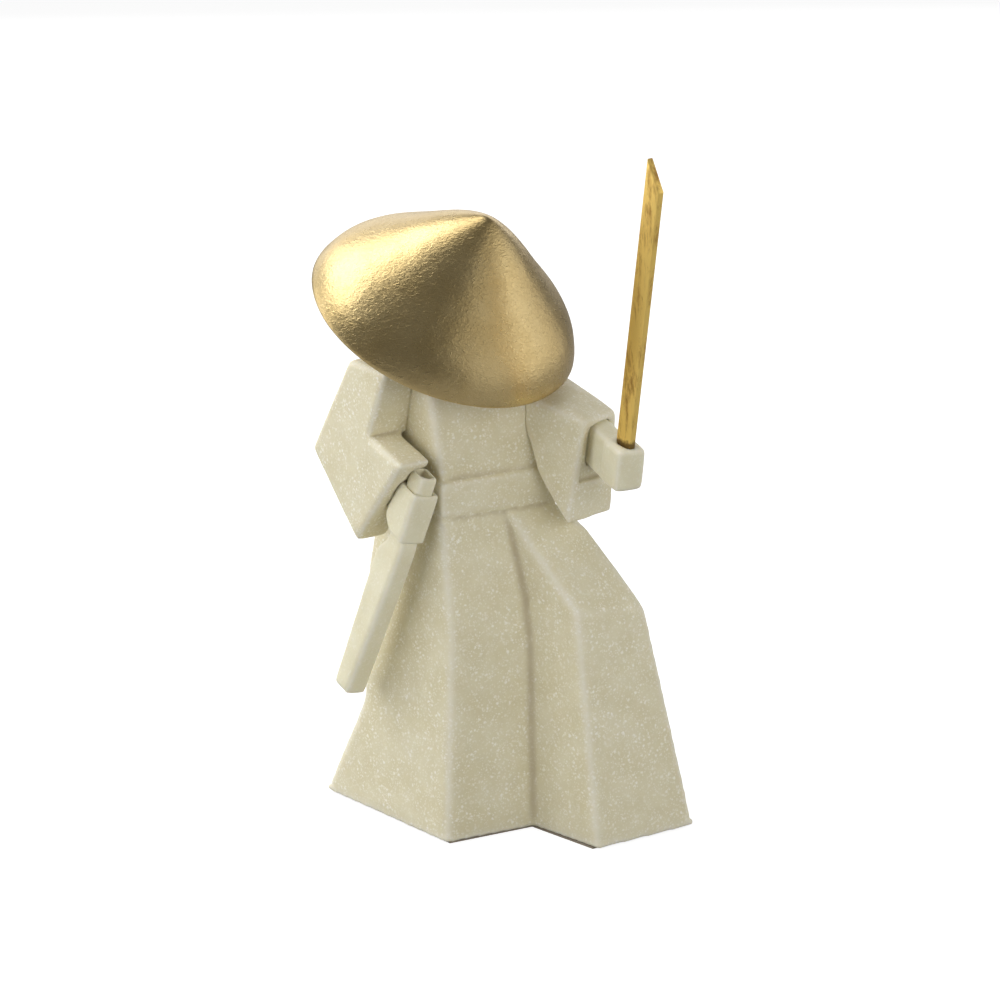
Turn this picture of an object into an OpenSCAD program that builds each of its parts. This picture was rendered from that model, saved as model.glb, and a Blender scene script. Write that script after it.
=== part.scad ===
// Faceted figurine of a robed swordsman in a conical straw hat.
// Millimetres, +Z up. The origin is on the table, under the middle of the hem.
// The figure faces -Y, its sword arm is on the +X side and its scabbard arm is on the -X side.

/* [Robe] */
// Width of the hem, across the figure
hem_w = 105; // [96:1:116]
// Depth of the hem, from the front foot to the back
hem_d = 125; // [115:1:140]
// Height of the bent front knee
knee_z = 95; // [86:1:104]
// Height of the top of the skirt, where the belt starts
waist_z = 134; // [128:1:138]
// Height of the belt band
belt_h = 13; // [9:1:15]
// How far the belt stands out from the robe
belt_out = 2.2; // [0.8:0.2:2.6]
// Height of the flat shoulders
shoulder_z = 190; // [186:1:194]
// Width of the robe at the shoulders
shoulder_w = 58; // [54:1:60]
// Depth of the robe from chest to back
chest_d = 46; // [42:1:50]

/* [Sleeves] */
// Thickness of the scabbard arm's sleeve, outwards from the shoulder
sleeve_t = 15; // [13:1:18]
// Width of the sword arm's cuff
cuff_w = 22; // [20:1:24]
// Depth of the channel cut around the sword arm's wrist
cuff_channel = 1; // [0.5:0.5:3]

/* [Hat] */
// Radius of the brim
hat_r = 55; // [50:0.5:60]
// Height of the hat from its brim to its tip
hat_h = 50.5; // [48:0.5:58]
// Wall thickness of the hat
hat_wall = 2.4; // [2:0.2:4]
// Forward tilt of the hat and the head
hat_tilt = 29.5; // [20:0.5:34]

/* [Sword] */
// Length of blade that stands above the fist
blade_len = 115; // [90:1:130]
// Width of the flat bar
blade_w = 8.4; // [8:0.2:11]
// Thickness of the flat bar
blade_t = 2.6; // [2:0.2:3.2]
// Length of blade that is hidden in the fist
tang_len = 14; // [10:1:15]
// Forward lean of the blade
blade_lean = 9; // [0:1:14]

/* [Scabbard] */
// Length of the scabbard below the fist
scabbard_len = 72; // [55:1:78]
// Width of the scabbard across its broad side, just below the fist
scabbard_w = 16.5; // [16:0.5:19]
// Thickness of the scabbard
scabbard_t = 9; // [8:0.5:10]
// Depth of the open pocket at the mouth
pocket_depth = 7; // [4:1:12]

/* [Assembly] */
// Glue gap between cast pieces that fit together
fit_gap = 0.15; // [0.1:0.05:0.3]
// Diameter of the dowel in each shoulder
dowel_d = 5; // [4:0.5:6]
// Length of each shoulder dowel
dowel_len = 22; // [16:1:24]
// Thickness of the felt under the base
felt_t = 0.8; // [0.6:0.2:1.6]
// How far the felt's edge is set in from the hem
felt_inset = 2.8; // [1:0.2:4]

/* [Hidden] */

stone = "#d6d1b8";
ivory = "#d9d4b4";
gold = "#c2a468";
brass = "#b8923c";
steel = "#a8a8a8";
brown = "#7a6a4a";

seat_z = waist_z - 33;
fold_z = 0.5 * knee_z;
crease_z = knee_z - 9;
mid_x = -10;

// Hem corners at table level, counter-clockwise from the scabbard side's heel.
hem_heel = [-0.515 * hem_w, 0.43 * hem_d];
hem_toe = [-0.405 * hem_w, -0.165 * hem_d];
hem_notch = [-0.038 * hem_w, -0.216 * hem_d];
hem_front = [0.038 * hem_w, -0.48 * hem_d];
hem_side = [0.486 * hem_w, -0.512 * hem_d];
hem_back = [0.457 * hem_w, 0.32 * hem_d];
hem_tail = [0.02 * hem_w, 0.5 * hem_d];
hem = [hem_heel, hem_toe, hem_notch, hem_front, hem_side, hem_back, hem_tail];

function at(p, z) = [p[0], p[1], z];

// Convex solid with the given corners.
module solid(points) {
    hull() polyhedron(points, [[for (i = [0:len(points) - 1]) i]]);
}

function mix(a, b, t) = a + (b - a) * t;

// Corners of the torso at height z, grown outwards by g: left front, right front, right back, left back.
function torso_rise(z) = (z - waist_z) / (shoulder_z - waist_z);
function torso_left(z) = mid_x - mix(20.5, shoulder_w / 2, torso_rise(z));
function torso_right(z) = mid_x + mix(26.5, shoulder_w / 2, torso_rise(z));
function torso_front(z) = mix(-4, -3, torso_rise(z));
function torso(z, g) = [
    [torso_left(z) - g, torso_front(z) - g, z],
    [torso_right(z) + g, torso_front(z) - 7 - g, z],
    [torso_right(z) + g, chest_d - 6 + g, z],
    [torso_left(z) - g, chest_d - 3 + g, z]
];

// The front leg's front panel leans back evenly, and its lap is one flat slope from the knee up.
knee_in = [5, -43, knee_z + 1];
lap_top = [-4.8, -9.7, waist_z - 2.5];
front_turn = (hem_side[1] - hem_front[1]) / (hem_side[0] - hem_front[0]);
front_lean = (knee_in[1] - hem_front[1] - front_turn * (knee_in[0] - hem_front[0])) / knee_in[2];
function on_front(p) = [p[0], hem_front[1] + front_turn * (p[0] - hem_front[0]) + front_lean * p[2], p[2]];
function on_lap(p) = let (n = cross(knee_out - knee_in, lap_top - knee_in))
    [p[0], p[1], knee_in[2] - (n[0] * (p[0] - knee_in[0]) + n[1] * (p[1] - knee_in[1])) / n[2]];

// Places on the skirt. The front panel of the back leg has one sideways crease.
crease_out = [-35, -14, crease_z + 1];
crease_in = [20, -25, crease_z - 11];
knee_out = on_front([38, 0, knee_z - 2]);
seat_out = [-36.5, 46, seat_z + 1];
seat_in = [24, 42, seat_z];
lap_side = on_lap([28, -20, 0]);
step_back = [20, -31];
shin_inside = [-12, 6, felt_t];
knee_back = [36, 30, knee_z];
knee_crease = [-1, -20, knee_z];
thigh_crease = [-0.5, -19, knee_z - 7];
thigh_back = [26, 20, waist_z - 14];
fold_front = mix(at(hem_toe, 0), crease_out, fold_z / crease_out[2]);
fold_in = mix(at(step_back, 0), crease_in, fold_z / crease_in[2]);
fold_out = [-47, 34, fold_z];
fold_tail = [0, 49, fold_z];
fold_back = [43, 36, fold_z];
waist_ring = [
    [-33.3, -4.2, waist_z], [14, -11.3, waist_z], [19, 42, waist_z], [-31, 44, waist_z]
];

// Places on the arms.
arm_plane = mid_x - shoulder_w / 2 + 1 - sleeve_t;
elbow = [61, 149];
cuff_low = [28, 118];
cuff_high = [-5.5, 157.7];
inner_elbow = [17.5, 164];
upper_front = [5, 192.5];
upper_back = [31.5, 192.5];
cuff_top_in = [12, -37, 172.5];
cuff_top_out = [12 + 0.955 * cuff_w, -31, 172.3];
cuff_low_in = [10, -29.3, 127.7];
cuff_low_out = [11 + cuff_w, -28.6, 129.4];
outer_high = [33, 1, 178.3];
outer_low = [33, -8, 150];
chest_side = [[6, -15, 146.4], [4.6, -10, 173], [3.2, -5, 178.5]];
right_dowel_at = [20, 176];
left_dowel_at = [14, 170];

// The scabbard hand. Its frame has +Z up along the scabbard and +Y to the back.
right_hand_at = [-49.5, -5, 135.4];
right_hand_turn = [15, 11, 0];
right_hand_w = 12.4;
neck_w = 8.2;
neck_depth = 10.4;
neck_at = [1.8, 1.3];
fist_top = 10.8;
fist_low = -12;
mouth_z = fist_top + 7;

// The sword hand. Its frame has +Z up along the blade and +Y to the back.
left_hand_at = [20, -53.5, 166.5];
left_hand_turn = [blade_lean, 1, -10];
fist_w = 12.4;
fist_depth = 13.5;
fist_h = 18;
wrist_w = 10.4;
wrist_len = 27;
blade_turn = 12;
channel_rim = 3;
channel_out = 8;

// The hat and head. Their frame has its origin at the middle of the brim and +Z to the tip.
hat_at = [mid_x - 3, 24.3, 205.8];
hat_turn = 10;
head_top = 24;
peg_d = 8;
peg_len = 9;
boss_d = peg_d + 9;
neck_d = 22;
tenon_d = 12;
tenon_len = 10;
neck_y = 24;

module robe_body() {
    color(stone) difference() {
        union() {
            back_leg_low();
            back_leg_high();
            front_shin();
            front_thigh();
            belt(0);
            solid(concat(
                torso(waist_z - 2, 0), torso(shoulder_z - 8, 0), torso(shoulder_z, -4)
            ));
        }
        translate([mid_x - 1, neck_y, shoulder_z - tenon_len - fit_gap])
            cylinder(d = tenon_d + 2 * fit_gap, h = tenon_len + 2, $fn = 48);
        right_dowel(fit_gap);
        left_dowel(fit_gap);
    }
}

module back_leg_low() {
    solid([
        at(hem_heel, felt_t), at(hem_toe, felt_t), at(step_back, felt_t), at(hem_back, felt_t),
        at(hem_tail, felt_t), fold_front, fold_in, fold_out, fold_tail, fold_back
    ]);
}

module back_leg_high() {
    solid(concat(
        [fold_front, fold_in, fold_out, fold_tail, fold_back],
        [crease_out, crease_in, seat_out, seat_in],
        waist_ring
    ));
}

module front_shin() {
    solid([
        at(hem_front, felt_t), at(hem_side, felt_t), at(hem_back, felt_t), shin_inside,
        knee_in, knee_out, knee_back, knee_crease
    ]);
}

module front_thigh() {
    solid([
        knee_in, knee_out, knee_back, thigh_crease, lap_top, lap_side,
        waist_ring[1], waist_ring[2], thigh_back
    ]);
}

module belt(g) {
    low = waist_z - 0.3 - g;
    high = waist_z + belt_h;
    solid(concat(
        [for (p = torso(waist_z + 3, belt_out + g)) at(p, low) - [1, 0, 0]],
        torso(high + g, belt_out + g)
    ));
}

module base_felt() {
    color(brown) linear_extrude(felt_t)
        polygon([for (p = hem) p * (1 - 2 * felt_inset / hem_w)]);
}

module right_dowel(g) {
    translate([torso_left(right_dowel_at[1]) - dowel_len / 2, right_dowel_at[0], right_dowel_at[1]])
        rotate([0, 90, 0])
            translate([0, 0, -g]) cylinder(d = dowel_d + 2 * g, h = dowel_len + 2 * g, $fn = 48);
}

module left_dowel(g) {
    translate([torso_right(left_dowel_at[1]) - dowel_len / 2, left_dowel_at[0], left_dowel_at[1]])
        rotate([0, 90, 0])
            translate([0, 0, -g]) cylinder(d = dowel_d + 2 * g, h = dowel_len + 2 * g, $fn = 48);
}

module right_shoulder_dowel() {
    color(steel) right_dowel(0);
}

module left_shoulder_dowel() {
    color(steel) left_dowel(0);
}

// Everything that the sleeves must clear: the torso and the belt with a glue gap.
module torso_envelope() {
    solid(concat(torso(waist_z - 2, fit_gap), torso(shoulder_z + 4, fit_gap)));
    belt(fit_gap);
}

module slab(outline, x0, x1) {
    translate([x0, 0, 0]) rotate([90, 0, 90]) linear_extrude(x1 - x0) polygon(outline);
}

module right_sleeve() {
    chevron = [elbow, cuff_low, cuff_high, inner_elbow, upper_front, upper_back];
    upper = [elbow, [40, 150], inner_elbow, upper_front, upper_back];
    color(stone) difference() {
        union() {
            slab(chevron, arm_plane, arm_plane + sleeve_t);
            difference() {
                slab(upper, arm_plane + 2, arm_plane + sleeve_t + 8);
                torso_envelope();
            }
        }
        torso_envelope();
        right_dowel(fit_gap);
        in_right_hand() {
            tenon_block(fit_gap);
            fist_block(fit_gap);
            neck_block(2 * fit_gap);
        }
    }
}

module in_right_hand() {
    translate(right_hand_at) rotate(right_hand_turn) children();
}

module tenon_block(g) {
    translate([3 - g, 10, -5 - g]) cube([6.4 + 2 * g, 15 + g, 11 + 2 * g]);
}

module fist_block(g) {
    slab([
        [-g, fist_top + g], [13 + g, fist_top + g], [16.5 + 2 * g, -6], [11 + g, -11 - g], [-g, fist_low - g]
    ], -g, right_hand_w + g);
}

module neck_block(g) {
    translate([neck_at[0] - g, neck_at[1] - g, fist_low - 1])
        cube([neck_w + 2 * g, neck_depth + 2 * g, mouth_z + g - fist_low + 1]);
}

module right_hand() {
    color(ivory) in_right_hand() difference() {
        union() {
            fist_block(0);
            tenon_block(0);
        }
        neck_block(fit_gap);
    }
}

module scabbard() {
    low = fist_low - fit_gap;
    color(ivory) in_right_hand() difference() {
        union() {
            solid(concat(
                [for (x = [2, 2 + scabbard_t - 0.5], y = [0.5, 10.5]) [x, y, low]],
                [for (x = [2, 2 + scabbard_t - 0.5], y = [0.5, 0.5 + scabbard_w]) [x, y, low - 10]],
                [for (x = [1.2, 2 + scabbard_t], y = [4, scabbard_w - 1.5]) [x, y, low - scabbard_len]]
            ));
            neck_block(0);
        }
        translate([neck_at[0] + 1.5, neck_at[1] + 1.3, mouth_z - pocket_depth])
            cube([neck_w - 3, neck_depth - 2.6, pocket_depth + 1]);
    }
}

module in_left_hand() {
    translate(left_hand_at) rotate(left_hand_turn) children();
}

module wrist_block(g) {
    translate([-wrist_w / 2 - g, 0, -fist_h - 0.6 - g])
        cube([wrist_w + 2 * g, fist_depth / 2 + wrist_len + g, fist_h + 2 * g]);
}

module channel_block() {
    middle = (cuff_top_in + cuff_top_out + cuff_low_in + cuff_low_out) / 4;
    size = [wrist_w + 2 * channel_rim, cuff_channel + channel_out, fist_h + 2 * channel_rim];
    translate(middle + [0, 0, 7]) rotate([9.7, 0, 12])
        translate([-size[0] / 2, -channel_out, -size[2] / 2]) cube(size);
}

module left_sleeve() {
    color(stone) difference() {
        union() {
            solid(concat(
                [cuff_top_in, cuff_top_out, cuff_low_in, cuff_low_out, outer_high, outer_low],
                chest_side, [[20, 2, 183], [20, -4, 150]]
            ));
            solid(concat(
                [[15, -4, 180], outer_high, [31, 22, 183], [15, 22, 188.5]],
                [[15, -9, 152], outer_low, [32, 26, 146], [15, 26, 148]],
                [[32, 36, 170], [15, 36, 171]]
            ));
        }
        torso_envelope();
        left_dowel(fit_gap);
        in_left_hand() wrist_block(fit_gap);
        channel_block();
    }
}

module tang(g) {
    rotate([0, 0, blade_turn]) translate([-blade_t / 2 - g, -blade_w / 2 - g, -tang_len - g])
        cube([blade_t + 2 * g, blade_w + 2 * g, tang_len + g + 1]);
}

module left_hand() {
    color(ivory) in_left_hand() difference() {
        union() {
            translate([-fist_w / 2, -fist_depth / 2, -fist_h]) cube([fist_w, fist_depth, fist_h]);
            wrist_block(0);
        }
        tang(fit_gap);
    }
}

module blade() {
    outline = [
        [-blade_w / 2, -tang_len], [blade_w / 2, -tang_len], [blade_w / 2, blade_len],
        [-blade_w / 2, blade_len - 1.3 * blade_w]
    ];
    color(brass) in_left_hand() rotate([0, 0, blade_turn]) slab(outline, -blade_t / 2, blade_t / 2);
}

module in_hat() {
    translate(hat_at) rotate([hat_tilt, 0, hat_turn]) children();
}

// Brim to tip: the cone swells out above the brim and comes to a blunt point.
function swell(t) = 7.4 * sin(180 * t) + 0.6 * sin(360 * t) + 1.6 * sin(540 * t);
function hat_side(t, r, h) = [r * (1 - t) + swell(t), h * t];

module hat() {
    steps = [0:0.08:0.96];
    rise_in = hat_h - 1.6 * hat_wall;
    outside = [for (t = steps) hat_side(t, hat_r - 0.6, hat_h - 1) + [0.6, 1]];
    inside = [for (t = steps) hat_side(t, hat_r - hat_wall - 0.4, rise_in)];
    color(gold) in_hat() difference() {
        rotate_extrude($fn = 96)
            polygon(concat([[0, 0], [hat_r - 0.6, 0]], outside, [[0, hat_h]]));
        difference() {
            rotate_extrude($fn = 96)
                polygon(concat([[0, -1], [inside[0][0], -1]], inside, [[0, rise_in]]));
            translate([0, 0, head_top + fit_gap]) cylinder(d = boss_d, h = hat_h, $fn = 48);
        }
        translate([0, 0, head_top - 1])
            cylinder(d = peg_d + 2 * fit_gap, h = peg_len + 1 + fit_gap, $fn = 48);
    }
}

module head() {
    color(stone) union() {
        in_hat() {
            solid([
                [-12, -12, head_top], [12, -12, head_top], [12, 12, head_top], [-12, 12, head_top],
                [-16, -18, 7], [16, -18, 7], [16, 15, 9], [-16, 15, 9],
                [-10, -16, -5], [10, -16, -5], [12, 10, -10], [-12, 10, -10]
            ]);
            translate([0, 0, head_top - 2]) cylinder(d = peg_d, h = peg_len + 2, $fn = 48);
        }
        translate([mid_x - 1, neck_y, shoulder_z + fit_gap]) cylinder(d = neck_d, h = 14, $fn = 48);
        translate([mid_x - 1, neck_y, shoulder_z - tenon_len])
            cylinder(d = tenon_d, h = tenon_len + 2, $fn = 48);
    }
}

robe_body();
base_felt();
head();
hat();
right_sleeve();
right_hand();
scabbard();
left_sleeve();
left_hand();
blade();
right_shoulder_dowel();
left_shoulder_dowel();
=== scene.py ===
"""Looks for the robed swordsman figurine: a cast resin body, a gold conical hat and a brass blade.

The castings are the CAD solids with the soft edges of a mould. The hat and the blade are built here, at the
CAD's sizes. The felt and the dowels are the CAD's own. Everything is in metres, in the CAD frame: the figure
stands on z = 0 and faces -Y.
"""

import math

import bmesh
import bpy
import numpy as np
from mathutils import Euler, Matrix, Vector, noise
from mathutils.bvhtree import BVHTree


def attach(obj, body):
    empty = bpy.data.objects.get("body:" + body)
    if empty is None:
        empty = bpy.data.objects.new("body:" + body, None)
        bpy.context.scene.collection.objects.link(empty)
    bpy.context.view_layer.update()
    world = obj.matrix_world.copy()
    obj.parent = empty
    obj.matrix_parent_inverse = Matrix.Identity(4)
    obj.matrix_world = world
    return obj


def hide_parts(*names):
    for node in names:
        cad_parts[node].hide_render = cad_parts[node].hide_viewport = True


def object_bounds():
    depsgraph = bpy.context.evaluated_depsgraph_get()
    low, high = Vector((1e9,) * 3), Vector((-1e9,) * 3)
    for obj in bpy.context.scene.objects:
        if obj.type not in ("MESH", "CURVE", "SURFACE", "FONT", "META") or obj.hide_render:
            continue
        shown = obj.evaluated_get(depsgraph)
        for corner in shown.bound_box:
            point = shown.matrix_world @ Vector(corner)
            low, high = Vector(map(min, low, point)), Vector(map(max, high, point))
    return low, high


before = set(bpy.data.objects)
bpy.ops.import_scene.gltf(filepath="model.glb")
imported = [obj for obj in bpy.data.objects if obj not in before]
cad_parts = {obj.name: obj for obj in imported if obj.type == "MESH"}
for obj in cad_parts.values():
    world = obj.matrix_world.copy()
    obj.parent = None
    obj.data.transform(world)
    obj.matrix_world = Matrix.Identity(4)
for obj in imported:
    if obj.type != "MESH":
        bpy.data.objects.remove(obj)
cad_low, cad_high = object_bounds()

MM = 0.001

# The hat, in the CAD's sizes. Its frame has its origin at the middle of the brim and +Z to the tip.
HAT_AT = Vector((-12.2, 24.3, 205.8)) * MM
HAT_OVAL = 1.015
HAT_TILT = math.radians(29.5)
HAT_TURN = math.radians(10)
HAT_R = 55 * MM
HAT_H = 50.8 * MM
HAT_WALL = 2.4 * MM
HAT_CROWN = 1.6 * HAT_WALL
HAT_SWELLS = (7.1 * MM, 0.6 * MM, 1.1 * MM)
# The tip is blunted within this radius of the axis, where the cone would have this slope.
HAT_TIP = 3.2 * MM
HAT_TIP_SLOPE = 0.56
HAT_SEGMENTS = 224
HAT_STEPS = 60
LIP_STEPS = 12
HEAD_TOP = 24 * MM
PEG_R = 4.15 * MM
PEG_TOP = 33.15 * MM
BOSS_R = 8.5 * MM
BOSS_EDGE = 0.4 * MM

# The blade, in the CAD's sizes. Its frame has +Z along the blade, from the top of the fist.
BLADE_AT = Vector((20, -53.5, 166.5)) * MM
BLADE_LEAN = Euler((math.radians(9), math.radians(1), math.radians(-10))).to_matrix().to_4x4()
BLADE_TURN = Matrix.Rotation(math.radians(12), 4, "Z")
BLADE_LEN = 115 * MM
BLADE_W = 8.4 * MM
BLADE_T = 2.6 * MM
TANG_LEN = 14 * MM
BLADE_SLANT = 1.3 * BLADE_W
BLADE_EDGE = 0.28 * MM
BLADE_STEPS = 40
# The bar is stained by glue up to this height over the floor.
GLUE_HEIGHT = BLADE_AT.z + 2.5 * MM

# The robe's edges are rounded less along its thin belt and its hem, between these heights.
CRISP_BANDS = ((130 * MM, 151 * MM), (0, 3 * MM))
CRISP_SHARE = 0.15

# An edge that relaxing moves by ROUND_FROM is rounded in full, and no point moves further than ROUND_MOST.
ROUND_FROM = 0.4 * MM
ROUND_MOST = 1.6 * MM
# The attribute "edge" is 1 where an edge is this proud, 0 where a valley is this deep, and 0.5 on flat parts.
EDGE_DEPTH = 2 * MM
# Castings nearer than the first of these touch, and past the second they are apart.
TOUCH_NEAR, TOUCH_FAR = 1 * MM, 2.5 * MM

# Colours
GRAIN_PALE = (1, 0.97, 0.87, 1)
# Painted highlight: the pale cream mixed onto the resin's proud edges.
EDGE_PAINTED_HIGHLIGHT = (0.90, 0.87, 0.76, 1)
# Painted shade: the warm brown mixed into the resin's valleys and creases.
VALLEY_PAINTED_SHADE = (0.50, 0.42, 0.26, 1)
GOLD_DULL, GOLD_BRIGHT, GOLD_DIRT = (0.65, 0.485, 0.22, 1), (0.71, 0.545, 0.265, 1), (0.4, 0.28, 0.12, 1)
BRASS_CLEAN, BRASS_TARNISH, GLUE_STAIN = (1, 0.70, 0.19, 1), (0.52, 0.29, 0.07, 1), (0.09, 0.05, 0.02, 1)
FELT_DARK, FELT_PALE = (0.16, 0.12, 0.08, 1), (0.42, 0.35, 0.26, 1)
STEEL_DARK, STEEL_PALE = (0.45, 0.45, 0.46, 1), (0.62, 0.62, 0.62, 1)

# Castings that were glued face to face, which meet without rounded edges between them.
GLUED = {
    "robe_body": ("left_sleeve", "right_sleeve"),
    "left_sleeve": ("robe_body",),
    "right_sleeve": ("robe_body",),
}


# Meshes

def new_piece(name, mesh):
    """A smooth-shaded object that rides with the figurine."""
    piece = bpy.data.objects.new(name, mesh)
    bpy.context.scene.collection.objects.link(piece)
    mesh.shade_smooth()
    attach(piece, "root")
    return piece


def evaluated(piece):
    """The piece's mesh with its modifiers applied."""
    graph = bpy.context.evaluated_depsgraph_get()
    graph.update()
    return bpy.data.meshes.new_from_object(piece.evaluated_get(graph))


def points_of(mesh):
    """The places of a mesh's points, one row each."""
    places = np.zeros(len(mesh.vertices) * 3)
    mesh.vertices.foreach_get("co", places)
    return places.reshape(-1, 3)


def normals_of(mesh):
    """The points' normals, one row each."""
    normals = np.zeros(len(mesh.vertices) * 3)
    mesh.vertices.foreach_get("normal", normals)
    return normals.reshape(-1, 3)


def cast(node, voxel, valley, edge, glue=0, crisp=()):
    """The CAD node as a casting: an even skin of small faces, relaxed until its edges are soft.

    The valley and edge values are how many passes relax them. The skin stands proud by the depth of the
    glue, which closes the gap to the piece that it is stuck to. Crisp bands of height are rounded less."""
    piece = new_piece("cast_" + node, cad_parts[node].data.copy())
    skin = piece.modifiers.new("skin", "REMESH")
    skin.mode = "VOXEL"
    skin.voxel_size = voxel
    skin.use_smooth_shade = True
    relax = piece.modifiers.new("relax", "SMOOTH")
    relax.factor = 0.5
    relax.iterations = 2
    sharp = evaluated(piece)
    relax.iterations = valley
    soft = evaluated(piece)
    relax.iterations = edge
    softer = evaluated(piece)
    piece.modifiers.clear()
    piece.data = sharp
    round_edges(sharp, points_of(soft), points_of(softer), 1 - contact(sharp, node), crisp)
    uneven(sharp, 0.15 * MM, 14 * MM, glue)
    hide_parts(node)
    return piece


def contact(mesh, node):
    """For each point, 1 where it touches a casting glued to this one, down to 0 where it is apart."""
    points, faces = [], []
    for other in GLUED.get(node, ()):
        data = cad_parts[other].data
        faces += [[len(points) + i for i in f.vertices] for f in data.polygons]
        points += [v.co for v in data.vertices]
    if not faces:
        return np.zeros(len(mesh.vertices))
    tree = BVHTree.FromPolygons(points, faces)
    gaps = np.array([tree.find_nearest(p)[3] for p in points_of(mesh)])
    return np.clip((TOUCH_FAR - gaps) / (TOUCH_FAR - TOUCH_NEAR), 0, 1)


def round_edges(mesh, soft, softer, free, crisp):
    """Gives outward edges the softer surface, keeps valleys crisp and marks them for the material.

    Nothing is rounded where free is 0, so that pieces still meet without a groove."""
    places = points_of(mesh)
    inward = softer - soft
    proud = -(inward * normals_of(mesh)).sum(1)
    # The mark tells the resin where to paint a highlight on edges and shade in valleys.
    mark = mesh.attributes.new("edge", "FLOAT", "POINT")
    mark.data.foreach_set("value", np.clip(0.5 + free * proud / (2 * EDGE_DEPTH), 0, 1))
    share = np.clip(proud / ROUND_FROM, 0, 1)
    heights = places[:, 2]
    for low, high in crisp:
        share[(heights > low) & (heights < high)] *= CRISP_SHARE
    depth = np.linalg.norm(inward, axis=1)
    share *= np.minimum(1, ROUND_MOST / np.maximum(depth, MM))
    rounded = soft + inward * share[:, None]
    places += (rounded - places) * free[:, None]
    mesh.vertices.foreach_set("co", places.ravel())
    mesh.update()


def uneven(mesh, depth, size, proud=0):
    """Moves each point along its normal by a smooth noise, and outwards by a constant."""
    places = points_of(mesh)
    shift = np.array([noise.noise(Vector(p)) for p in places / size])
    places += normals_of(mesh) * (proud + depth * shift)[:, None]
    mesh.vertices.foreach_set("co", places.ravel())
    mesh.update()


def lathe(outline, segments):
    """A closed surface of revolution about Z from (radius, height) points that start and end on the axis."""
    bm = bmesh.new()
    first = bm.verts.new((0, 0, outline[0][1]))
    last = bm.verts.new((0, 0, outline[-1][1]))
    rings = []
    for r, z in outline[1:-1]:
        angles = [2 * math.pi * i / segments for i in range(segments)]
        rings.append([bm.verts.new((r * math.cos(a), r * math.sin(a), z)) for a in angles])
    for i in range(segments):
        j = (i + 1) % segments
        bm.faces.new((first, rings[0][i], rings[0][j]))
        bm.faces.new((last, rings[-1][j], rings[-1][i]))
        for a, b in zip(rings, rings[1:]):
            bm.faces.new((a[i], b[i], b[j], a[j]))
    bmesh.ops.recalc_face_normals(bm, faces=bm.faces)
    mesh = bpy.data.meshes.new("lathe")
    bm.to_mesh(mesh)
    bm.free()
    return mesh


def hat_side(t, radius, height):
    """A point of the hat's profile, a swollen cone from the brim at t = 0 to the tip at t = 1."""
    swell = sum(size * math.sin((i + 1) * math.pi * t) for i, size in enumerate(HAT_SWELLS))
    return radius * (1 - t) + swell, height * t


def hat_outline():
    """Tip to brim outside, round the lip, up the inside, and round the boss that holds the head's peg."""
    lip_r = HAT_WALL / 2
    outside = []
    for i in range(HAT_STEPS):
        r, z = hat_side(1 - i / HAT_STEPS, HAT_R, HAT_H)
        drop = HAT_TIP_SLOPE * (math.hypot(r, HAT_TIP) - r)
        outside.append((r, z - drop + lip_r))
    turn = [math.pi * i / LIP_STEPS for i in range(1, LIP_STEPS)]
    lip = [(HAT_R - lip_r + lip_r * math.cos(a), lip_r * (1 - math.sin(a))) for a in turn]
    inside = []
    for i in range(1, HAT_STEPS):
        r, z = hat_side(i / HAT_STEPS, HAT_R - HAT_WALL, HAT_H - HAT_CROWN)
        if r > BOSS_R:
            inside.append((r, z))
    boss = [
        (BOSS_R, inside[-1][1]), (BOSS_R, HEAD_TOP + BOSS_EDGE), (BOSS_R - BOSS_EDGE, HEAD_TOP),
        (PEG_R, HEAD_TOP), (PEG_R, PEG_TOP), (0, PEG_TOP)
    ]
    return outside + lip + inside + boss


def hat_piece():
    """A slightly oval cone with a rounded lip, a little uneven as if shaped by hand."""
    mesh = lathe(hat_outline(), HAT_SEGMENTS)
    uneven(mesh, 0.18 * MM, 24 * MM)
    uneven(mesh, 0.05 * MM, 6 * MM)
    mesh.transform(Matrix.Scale(HAT_OVAL, 4, (1, 0, 0)))
    mesh.transform(Matrix.Translation(HAT_AT) @ Euler((HAT_TILT, 0, HAT_TURN)).to_matrix().to_4x4())
    piece = new_piece("hat_shell", mesh)
    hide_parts("hat")
    return piece


def blade_piece():
    """A flat bar with a slanted tip and worn edges."""
    half_t, half_w = BLADE_T / 2, BLADE_W / 2
    corners = ((-half_t, -half_w), (half_t, -half_w), (half_t, half_w), (-half_t, half_w))
    bm = bmesh.new()
    rings = []
    for i in range(BLADE_STEPS + 1):
        z = -TANG_LEN + (TANG_LEN + BLADE_LEN) * i / BLADE_STEPS
        near = min(z, BLADE_LEN - BLADE_SLANT)
        rings.append([bm.verts.new((x, y, near if y < 0 else z)) for x, y in corners])
    for a, b in zip(rings, rings[1:]):
        for i in range(4):
            bm.faces.new((a[i], a[(i + 1) % 4], b[(i + 1) % 4], b[i]))
    bm.faces.new(rings[0])
    bm.faces.new(rings[-1])
    bmesh.ops.remove_doubles(bm, verts=bm.verts, dist=0.01 * MM)
    bmesh.ops.recalc_face_normals(bm, faces=bm.faces)
    mesh = bpy.data.meshes.new("blade")
    bm.to_mesh(mesh)
    bm.free()
    piece = new_piece("blade_bar", mesh)
    bevel = piece.modifiers.new("edges", "BEVEL")
    bevel.width = BLADE_EDGE
    bevel.segments = 3
    bevel.limit_method = "ANGLE"
    bevel.angle_limit = math.radians(30)
    mesh = evaluated(piece)
    piece.modifiers.clear()
    piece.data = mesh
    mesh.transform(Matrix.Translation(BLADE_AT) @ BLADE_LEAN @ BLADE_TURN)
    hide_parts("blade")
    return piece


# Materials

def new_material(name):
    """A material and the short names for its nodes."""
    material = bpy.data.materials.new(name)
    material.use_nodes = True
    return material, Nodes(material.node_tree)


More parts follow.
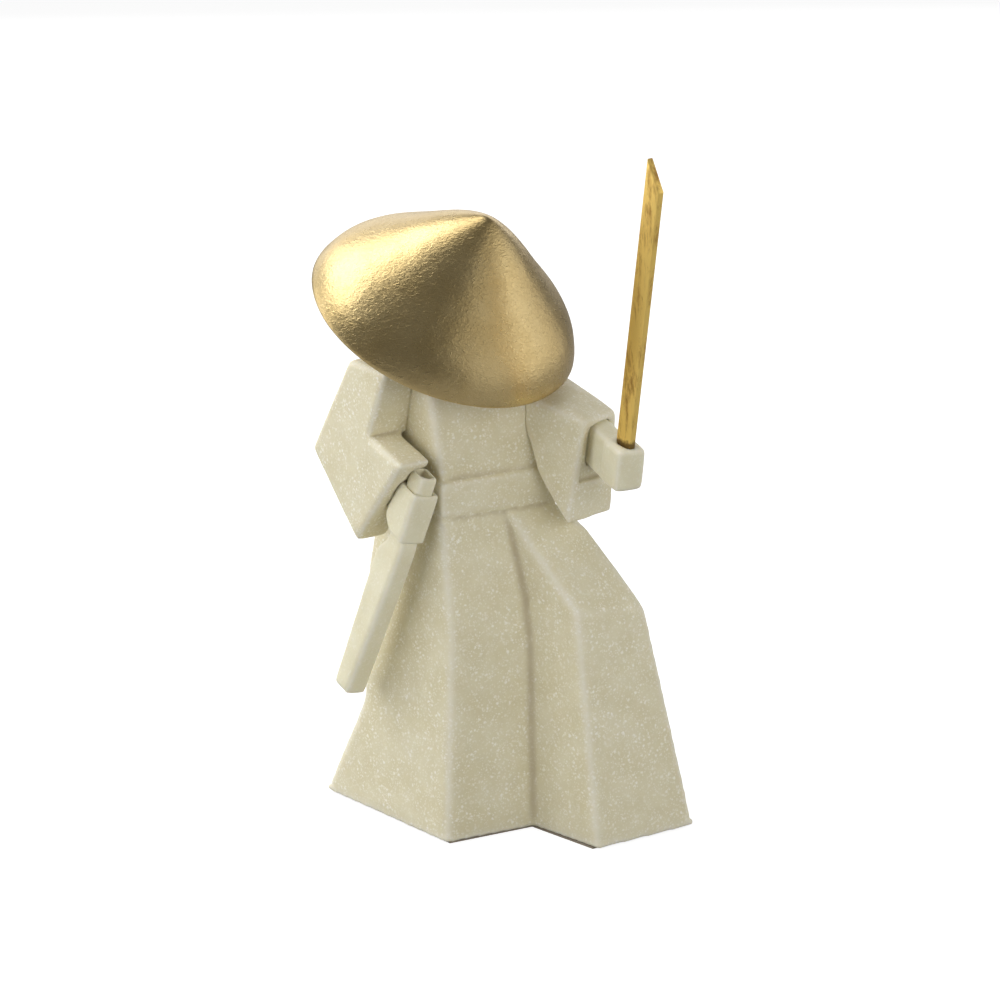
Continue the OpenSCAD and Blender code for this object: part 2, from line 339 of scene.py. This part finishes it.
class Nodes:
    """Short names for the shader nodes that the materials share."""

    def __init__(self, tree):
        self.tree = tree
        self.shader = tree.nodes["Principled BSDF"]
        self.place = tree.nodes.new("ShaderNodeTexCoord").outputs["Object"]

    def set(self, **values):
        """Constants on the shader's own sockets."""
        for name, value in values.items():
            self.shader.inputs[name.replace("_", " ")].default_value = value

    def link(self, source, target):
        self.tree.links.new(source, target)

    def make(self, kind, inputs, **settings):
        """A node with its settings, and each input linked or set."""
        made = self.tree.nodes.new(kind)
        for name, value in settings.items():
            setattr(made, name, value)
        for name, value in inputs.items():
            if isinstance(value, bpy.types.NodeSocket):
                self.link(value, made.inputs[name])
            else:
                made.inputs[name].default_value = value
        return made

    def noise(self, size, detail=3, roughness=0.5, distortion=0, place=None):
        """Noise from 0 to 1 with features of the given size in metres."""
        return self.make("ShaderNodeTexNoise", {
            "Vector": place or self.place, "Scale": 1 / size, "Detail": detail,
            "Roughness": roughness, "Distortion": distortion
        }).outputs["Fac"]

    def stretched(self, x, y, z):
        """The place with each axis scaled. A scale below 1 stretches a pattern along that axis."""
        return self.make("ShaderNodeMapping", {"Vector": self.place, "Scale": (x, y, z)}).outputs[0]

    def ramp(self, value, low, high, start=0, end=1):
        """The value from low to high as a smooth 0 to 1, or start to end."""
        return self.make("ShaderNodeMapRange", {
            "Value": value, "From Min": low, "From Max": high, "To Min": start, "To Max": end
        }, interpolation_type="SMOOTHSTEP").outputs["Result"]

    def math(self, operation, a, b):
        return self.make("ShaderNodeMath", {0: a, 1: b}, operation=operation).outputs[0]

    def mix(self, factor, a, b):
        """The colour a at factor 0 and b at 1."""
        made = self.make("ShaderNodeMix", {}, data_type="RGBA")
        for socket, value in (("Factor_Float", factor), ("A_Color", a), ("B_Color", b)):
            target = next(s for s in made.inputs if s.identifier == socket)
            if isinstance(value, bpy.types.NodeSocket):
                self.link(value, target)
            else:
                target.default_value = value
        return next(s for s in made.outputs if s.identifier == "Result_Color")

    def bump(self, height, depth, under=None):
        """A normal for bumps of this depth in metres, over another bump if there is one."""
        made = self.make("ShaderNodeBump", {"Height": height, "Distance": depth, "Strength": 1})
        if under:
            self.link(under, made.inputs["Normal"])
        return made.outputs["Normal"]

    def flecks(self, size, radius, share):
        """Soft round grains, one in each kept cell of the given size. The radius is a share of the size."""
        drift = self.make("ShaderNodeTexNoise", {"Vector": self.place, "Scale": 1 / size}).outputs["Color"]
        wander = self.make("ShaderNodeVectorMath", {
            0: drift, 1: (size, size, size)
        }, operation="MULTIPLY").outputs[0]
        moved = self.make("ShaderNodeVectorMath", {0: self.place, 1: wander}, operation="ADD").outputs[0]
        cells = self.make("ShaderNodeTexVoronoi", {"Vector": moved, "Scale": 1 / size})
        grain = self.ramp(cells.outputs["Distance"], radius * 0.3, radius, 1, 0)
        pick = self.make("ShaderNodeSeparateColor", {"Color": cells.outputs["Color"]}).outputs[0]
        return self.math("MULTIPLY", grain, self.ramp(pick, 1 - share, 1 - share / 2))


def rgb(r, g, b):
    return (r, g, b, 1)


def resin(name, pale, deep, grain):
    """Cast marble-dust resin: a cloudy cream body with pale grains in it, with a painted highlight along its
    edges and painted shade in its valleys.
    """
    material, n = new_material(name)
    cloud = n.ramp(n.noise(12 * MM, 4, 0.6), 0.25, 0.75)
    body = n.mix(cloud, deep, pale)
    large = n.flecks(2.0 * MM, 0.42, 0.9)
    small = n.math("MULTIPLY", n.flecks(1 * MM, 0.5, 1), 0.75)
    grains = n.math("MAXIMUM", large, small)
    thick = n.ramp(n.noise(7 * MM, 3, 0.5), 0.35, 0.6, 0.5, 1)
    grains_here = n.math("MULTIPLY", n.math("MULTIPLY", grains, thick), grain)
    body = n.mix(grains_here, body, GRAIN_PALE)
    edge = n.make("ShaderNodeAttribute", {}, attribute_name="edge").outputs["Fac"]
    # Painted highlight: the edges are lightened towards a pale cream.
    body = n.mix(n.ramp(edge, 0.5, 0.72, 0, 0.5), body, EDGE_PAINTED_HIGHLIGHT)
    # Painted shade: the valleys and creases are darkened towards a warm brown.
    body = n.mix(n.ramp(edge, 0.3, 0.48, 0.8, 0), body, VALLEY_PAINTED_SHADE)
    n.link(body, n.shader.inputs["Base Color"])
    wear = n.noise(7 * MM, 5, 0.65)
    n.link(n.ramp(wear, 0.3, 0.7, 0.42, 0.6), n.shader.inputs["Roughness"])
    skin = n.bump(n.noise(1.3 * MM, 4, 0.6), 0.06 * MM)
    n.link(n.bump(grains, 0.02 * MM, under=skin), n.shader.inputs["Normal"])
    n.set(Subsurface_Weight=0.3, Subsurface_Radius=(1.0, 0.85, 0.55), Subsurface_Scale=1.5 * MM, IOR=1.49)
    return material


def gold():
    """Gold leaf paint on the hat, with fine wrinkles and rubbed patches."""
    material, n = new_material("hat_gold")
    patch = n.ramp(n.noise(20 * MM, 4, 0.6), 0.35, 0.65)
    tone = n.mix(patch, GOLD_DULL, GOLD_BRIGHT)
    fine = n.noise(1.7 * MM, 3, 0.55, 0.9, n.stretched(1, 1, 1.7))
    tone = n.mix(n.ramp(fine, 0.25, 0.45, 0.2, 0), tone, GOLD_DIRT)
    n.link(tone, n.shader.inputs["Base Color"])
    n.link(n.ramp(fine, 0.3, 0.7, 0.33, 0.27), n.shader.inputs["Roughness"])
    swells = n.bump(n.noise(9 * MM, 3), 0.25 * MM)
    n.link(n.bump(fine, 0.2 * MM, under=swells), n.shader.inputs["Normal"])
    n.set(Metallic=1)
    return material


def brass():
    """A brass bar with brown tarnish blotches and lengthwise scratches."""
    material, n = new_material("blade_brass")
    blotch = n.ramp(n.noise(4 * MM, 5, 0.7, 0.3, n.stretched(1, 1, 0.25)), 0.45, 0.68)
    tone = n.mix(blotch, BRASS_CLEAN, BRASS_TARNISH)
    height = n.make("ShaderNodeSeparateXYZ", {0: n.place}).outputs["Z"]
    glue = n.math("ADD", height, n.math("MULTIPLY", n.noise(2 * MM), 4 * MM))
    tone = n.mix(n.ramp(glue, GLUE_HEIGHT, GLUE_HEIGHT + 2 * MM, 0.85, 0), tone, GLUE_STAIN)
    n.link(tone, n.shader.inputs["Base Color"])
    n.link(n.ramp(blotch, 0, 1, 0.36, 0.55), n.shader.inputs["Roughness"])
    scratch = n.noise(0.5 * MM, 3, 0.6, 0, n.stretched(1, 1, 0.03))
    n.link(n.bump(scratch, 0.03 * MM), n.shader.inputs["Normal"])
    n.set(Metallic=0.7)
    return material


def felt():
    """Short brown fibres."""
    material, n = new_material("base_felt_brown")
    fibre = n.noise(0.6 * MM, 5, 0.7, 1.5)
    n.link(n.mix(fibre, FELT_DARK, FELT_PALE), n.shader.inputs["Base Color"])
    n.link(n.bump(fibre, 0.3 * MM), n.shader.inputs["Normal"])
    n.set(Roughness=0.95, Sheen_Weight=0.4, Sheen_Roughness=0.5)
    return material


def steel():
    """Turned steel, with fine marks across the pin."""
    material, n = new_material("dowel_steel")
    turning = n.noise(0.4 * MM, 3, 0.6, 0, n.stretched(0.05, 1, 1))
    n.link(n.mix(turning, STEEL_DARK, STEEL_PALE), n.shader.inputs["Base Color"])
    n.link(n.ramp(turning, 0, 1, 0.25, 0.42), n.shader.inputs["Roughness"])
    n.link(n.bump(turning, 0.02 * MM), n.shader.inputs["Normal"])
    n.set(Metallic=1)
    return material


# Stage

# Each light's name, azimuth, elevation, distance, size, power, and whether the metals reflect it.
LIGHTS = (
    ("key", -150, 46, 1.7, (1.7, 0.9), 14, True),
    ("front", 30, 20, 1.7, (1.9, 1.6), 4.5, True),
    ("top", 170, 72, 1.7, (1.1, 0.9), 6, True),
    ("right", 70, 12, 1.7, (1.5, 1.0), 3.5, True),
    ("left", -145, 6, 1.7, (1.2, 1.0), 6, True),
    ("back", 150, 18, 2.2, (3.0, 1.2), 12, True),
    ("left_fill", -100, 22, 1.7, (1.4, 1.4), 14, False),
    ("front_fill", 0, 12, 1.7, (1.4, 1.4), 11, False),
)
CAMERA_AT = Vector((-0.6105, -0.8692, 0.4782))
CAMERA_AIM = Vector((0.0001, 0.0029, 0.1322))
FLOOR_SIZE = 12
# Strengths of the room's light, of the background and of the floor's glow as the camera sees them.
ROOM_LIGHT, BACKDROP_LIGHT, FLOOR_GLOW = 0.15, 1.1, 0.85


def area_light(name, at, target, size, power, glossy):
    """A soft light that the camera doesn't see."""
    lamp = bpy.data.lights.new(name, "AREA")
    lamp.shape = "RECTANGLE"
    lamp.size, lamp.size_y = size
    lamp.energy = power
    light = bpy.data.objects.new(name, lamp)
    light.location = at
    light.visible_camera = False
    light.visible_glossy = glossy
    light.rotation_euler = (target - at).to_track_quat("-Z", "Y").to_euler()
    bpy.context.scene.collection.objects.link(light)


def around(target, azimuth, elevation, distance):
    """A place round the target. Azimuth 0 is in front of the figure and 90 is on its +X side."""
    a, e = math.radians(azimuth), math.radians(elevation)
    away = Vector((math.sin(a) * math.cos(e), -math.cos(a) * math.cos(e), math.sin(e)))
    return target + away * distance


def paint(piece, material):
    """Gives the piece this material and no other."""
    piece.data.materials.clear()
    piece.data.materials.append(material)


def stage():
    """The floor, the room, the lights and the camera."""
    mesh = bpy.data.meshes.new("floor")
    half = FLOOR_SIZE / 2
    corners = [(-half, -half, 0), (half, -half, 0), (half, half, 0), (-half, half, 0)]
    mesh.from_pydata(corners, [], [(0, 1, 2, 3)])
    floor = bpy.data.objects.new("floor", mesh)
    bpy.context.scene.collection.objects.link(floor)
    material, n = new_material("floor_white")
    n.set(Base_Color=rgb(0.38, 0.38, 0.38), Roughness=0.9, Emission_Color=rgb(1, 1, 1))
    seen = n.make("ShaderNodeLightPath", {}).outputs["Is Camera Ray"]
    n.link(n.math("MULTIPLY", seen, FLOOR_GLOW), n.shader.inputs["Emission Strength"])
    paint(floor, material)

    # The room is dim, as the gold hat shows, behind a background that the camera sees as white.
    world = bpy.data.worlds.new("studio")
    world.use_nodes = True
    tree = world.node_tree
    room = tree.nodes["Background"]
    room.inputs["Color"].default_value = rgb(1, 1, 1)
    room.inputs["Strength"].default_value = ROOM_LIGHT
    backdrop = tree.nodes.new("ShaderNodeBackground")
    backdrop.inputs["Strength"].default_value = BACKDROP_LIGHT
    seen = tree.nodes.new("ShaderNodeLightPath")
    choice = tree.nodes.new("ShaderNodeMixShader")
    tree.links.new(seen.outputs["Is Camera Ray"], choice.inputs[0])
    tree.links.new(room.outputs[0], choice.inputs[1])
    tree.links.new(backdrop.outputs[0], choice.inputs[2])
    tree.links.new(choice.outputs[0], tree.nodes["World Output"].inputs["Surface"])
    bpy.context.scene.world = world
    bpy.context.scene.view_settings.view_transform = "Standard"

    middle = (cad_low + cad_high) / 2
    for name, azimuth, elevation, distance, size, power, glossy in LIGHTS:
        area_light(name, around(middle, azimuth, elevation, distance), middle, size, power, glossy)

    lens = bpy.data.cameras.new("camera")
    lens.lens = 100
    lens.sensor_width = 36
    camera = bpy.data.objects.new("camera", lens)
    camera.location = CAMERA_AT
    camera.rotation_euler = (CAMERA_AIM - CAMERA_AT).to_track_quat("-Z", "Y").to_euler()
    bpy.context.scene.collection.objects.link(camera)
    bpy.context.scene.camera = camera


def build():
    """Every piece of the figurine, each with its material."""
    robe = resin("robe_resin", rgb(0.80, 0.745, 0.54), rgb(0.73, 0.665, 0.445), 0.8)
    ivory = resin("hand_resin", rgb(0.82, 0.78, 0.58), rgb(0.76, 0.71, 0.50), 0.3)
    paint(cast("robe_body", 1.0 * MM, 6, 72, crisp=CRISP_BANDS), robe)
    for node in ("left_sleeve", "right_sleeve", "head"):
        paint(cast(node, 0.5 * MM, 12, 160, glue=0.2 * MM), robe)
    for node in ("left_hand", "right_hand", "scabbard"):
        paint(cast(node, 0.5 * MM, 12, 150, glue=0.15 * MM), ivory)
    paint(hat_piece(), gold())
    paint(blade_piece(), brass())
    paint(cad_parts["base_felt"], felt())
    metal = steel()
    for node in ("left_shoulder_dowel", "right_shoulder_dowel"):
        paint(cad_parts[node], metal)


build()
stage()
